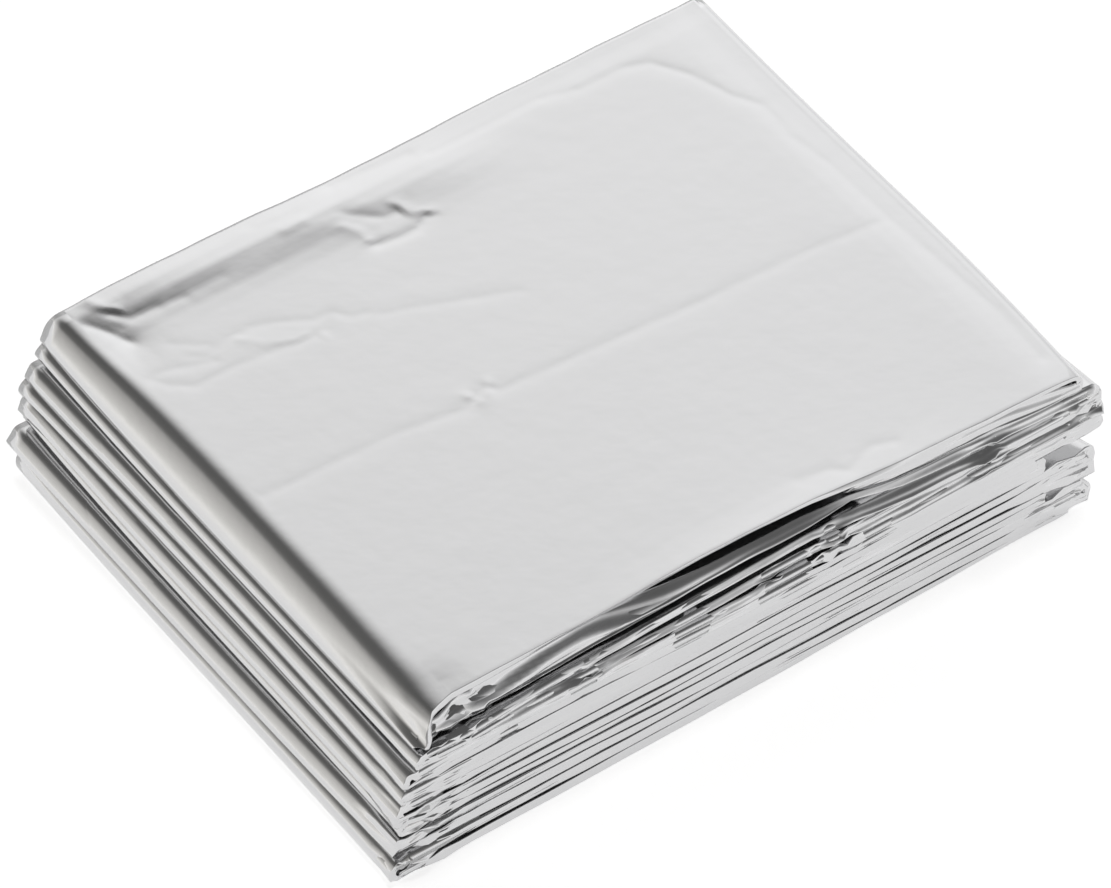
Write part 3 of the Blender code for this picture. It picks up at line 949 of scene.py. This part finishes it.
def crinkled(sheet, finish, material):
    """The sheet's mesh with its crinkle, as a plain mesh."""
    tree = crinkle_tree(material)
    modifier = sheet.modifiers.new("film_crinkle", "NODES")
    modifier.node_group = tree
    sizes = {"Height": finish.crinkle_height, "Size": finish.crinkle_size, "Seed": float(SEED)}
    for item in tree.interface.items_tree:
        if item.in_out == "INPUT" and item.name in sizes:
            modifier[item.identifier] = sizes[item.name]
    ready = sheet.evaluated_get(bpy.context.evaluated_depsgraph_get())
    data = bpy.data.meshes.new_from_object(ready)
    sheet.modifiers.remove(modifier)
    return data


# Operators

class BLANKET_OT_fold_sheet(bpy.types.Operator):
    """Fold the film sheet into its packet"""

    bl_idname = "blanket.fold_sheet"
    bl_label = "Fold Film Sheet"

    def execute(self, context):
        sizes = context.scene.blanket_sizes
        mesh = grid_mesh(*sheet_grid(sizes))
        refine(mesh)
        finish_shape(mesh)
        data = bpy.data.meshes.new("film_sheet")
        mesh.to_mesh(data)
        mesh.free()
        finish = context.scene.blanket_finish
        material = film_material(finish)
        data.materials.append(material)
        sheet = bpy.data.objects.new("film_sheet", data)
        context.scene.collection.objects.link(sheet)
        sheet.data = crinkled(sheet, finish, material)
        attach(sheet, "root")
        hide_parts(NODE)
        return {"FINISHED"}


class BLANKET_OT_set_stage(bpy.types.Operator):
    """Set the pale floor, the soft light and the camera"""

    bl_idname = "blanket.set_stage"
    bl_label = "Set Stage"

    def execute(self, context):
        scene = context.scene
        settings = scene.blanket_studio
        set_floor(scene, settings)
        set_light(scene)
        set_camera(scene, settings)
        scene.view_settings.view_transform = "Standard"
        return {"FINISHED"}


def set_floor(scene, settings):
    """A wide matt sheet under the packet."""
    data = bpy.data.meshes.new("studio_floor")
    sides = ((-1, -1), (1, -1), (1, 1), (-1, 1))
    data.from_pydata([(x * FLOOR_REACH, y * FLOOR_REACH, 0.0) for x, y in sides], [], [(0, 1, 2, 3)])
    data.materials.append(floor_material(settings.floor_colour, settings.floor_glow))
    floor = bpy.data.objects.new("studio_floor", data)
    scene.collection.objects.link(floor)


def set_light(scene):
    """A room with pale walls and a dark ceiling, one large softbox behind and a lamp over the floor."""
    scene.world = bpy.data.worlds.new("soft_studio")
    scene.world.use_nodes = True
    tree = scene.world.node_tree
    tree.nodes.clear()
    ray = node(tree, "ShaderNodeTexCoord").outputs["Generated"]
    place = node(tree, "ShaderNodeSeparateXYZ", {"Vector": ray}).outputs
    parts = []
    for band in (WALLS, HORIZON, ZENITH):
        parts.append(node(tree, "ShaderNodeMapRange", {"Value": place["Z"]},
                          interpolation_type="SMOOTHSTEP" if band is WALLS else "LINEAR",
                          in_1=band.start, in_2=band.end, in_3=band.start_light, in_4=band.end_light))
    toward = node(tree, "ShaderNodeVectorMath", {0: ray}, operation="DOT_PRODUCT",
                  in_1=SOFTBOX_TOWARD.normalized()).outputs["Value"]
    angle = node(tree, "ShaderNodeMath", {0: toward}, operation="ARCCOSINE").outputs[0]
    near, far = (math.radians(fade) for fade in SOFTBOX_FADE)
    parts.append(node(tree, "ShaderNodeMapRange", {"Value": angle}, interpolation_type="SMOOTHSTEP",
                      in_1=near, in_2=far, in_3=SOFTBOX_LIGHT, in_4=0.0))
    total = parts[0].outputs["Result"]
    for part in parts[1:]:
        total = node(tree, "ShaderNodeMath", {0: total, 1: part.outputs["Result"]}).outputs[0]
    beside = node(tree, "ShaderNodeMapRange", {"Value": place["X"]}, in_1=WARM_SIDE[0], in_2=WARM_SIDE[1])
    tint = node(tree, "ShaderNodeMixRGB", {"Fac": beside.outputs["Result"]},
                in_1=(*linear(WARM_WHITE), 1.0), in_2=(1.0, 1.0, 1.0, 1.0)).outputs[0]
    background = node(tree, "ShaderNodeBackground", {"Strength": total, "Color": tint})
    node(tree, "ShaderNodeOutputWorld", {"Surface": background.outputs["Background"]})
    add_lamp(scene)


def add_lamp(scene):
    """A square lamp over the floor, which the film doesn't mirror."""
    light = bpy.data.lights.new("floor_lamp", "AREA")
    light.shape = "RECTANGLE"
    light.size = LAMP_SIDE
    light.size_y = LAMP_SIDE
    light.energy = LAMP_POWER
    lamp = bpy.data.objects.new("floor_lamp", light)
    lamp.location = (0.0, 0.0, LAMP_HEIGHT)
    lamp.visible_glossy = False
    scene.collection.objects.link(lamp)


def set_camera(scene, settings):
    """A long lens that looks down on the packet's front left corner."""
    turn, rise = settings.azimuth, settings.elevation
    back = Vector((math.sin(turn) * math.cos(rise), -math.cos(turn) * math.cos(rise), math.sin(rise)))
    right = Vector((math.cos(turn), math.sin(turn), 0.0))
    up = back.cross(right)
    target = LOOK_AT + right * VIEW_RIGHT - up * VIEW_DOWN
    data = bpy.data.cameras.new("photo_camera")
    data.sensor_width = 36.0
    data.lens = data.sensor_width * settings.distance / settings.field_width
    camera = bpy.data.objects.new("photo_camera", data)
    camera.location = target + back * settings.distance
    camera.rotation_mode = "QUATERNION"
    camera.rotation_quaternion = (-back).to_track_quat("-Z", "Y")
    scene.collection.objects.link(camera)
    scene.camera = camera


class BLANKET_PT_panel(bpy.types.Panel):
    """Settings and steps of the folded foil blanket"""

    bl_idname = "BLANKET_PT_panel"
    bl_label = "Foil Blanket"
    bl_space_type = "VIEW_3D"
    bl_region_type = "UI"
    bl_category = "Foil Blanket"

    def draw(self, context):
        layout = self.layout
        scene = context.scene
        for group, names, step in (
            (scene.blanket_sizes, ("sheet_width", "sheet_length", "halvings"), "blanket.fold_sheet"),
            (scene.blanket_finish, ("silver", "roughness", "crinkle_height", "crinkle_size"), None),
            (scene.blanket_studio, ("azimuth", "elevation", "distance", "floor_colour", "floor_glow"),
             "blanket.set_stage"),
        ):
            box = layout.box()
            for name in names:
                box.prop(group, name)
            if step:
                box.operator(step)


GROUPS = {
    "blanket_sizes": FilmSheetSizes,
    "blanket_finish": FilmFinish,
    "blanket_studio": StudioSettings,
}
CLASSES = (*GROUPS.values(), BLANKET_OT_fold_sheet, BLANKET_OT_set_stage, BLANKET_PT_panel)


def register():
    for cls in CLASSES:
        bpy.utils.register_class(cls)
    for name, group in GROUPS.items():
        setattr(bpy.types.Scene, name, bpy.props.PointerProperty(type=group))


def unregister():
    for name in GROUPS:
        delattr(bpy.types.Scene, name)
    for cls in reversed(CLASSES):
        bpy.utils.unregister_class(cls)


def main():
    register()
    bpy.ops.blanket.set_stage()
    bpy.ops.blanket.fold_sheet()


if __name__ == "__main__":
    main()
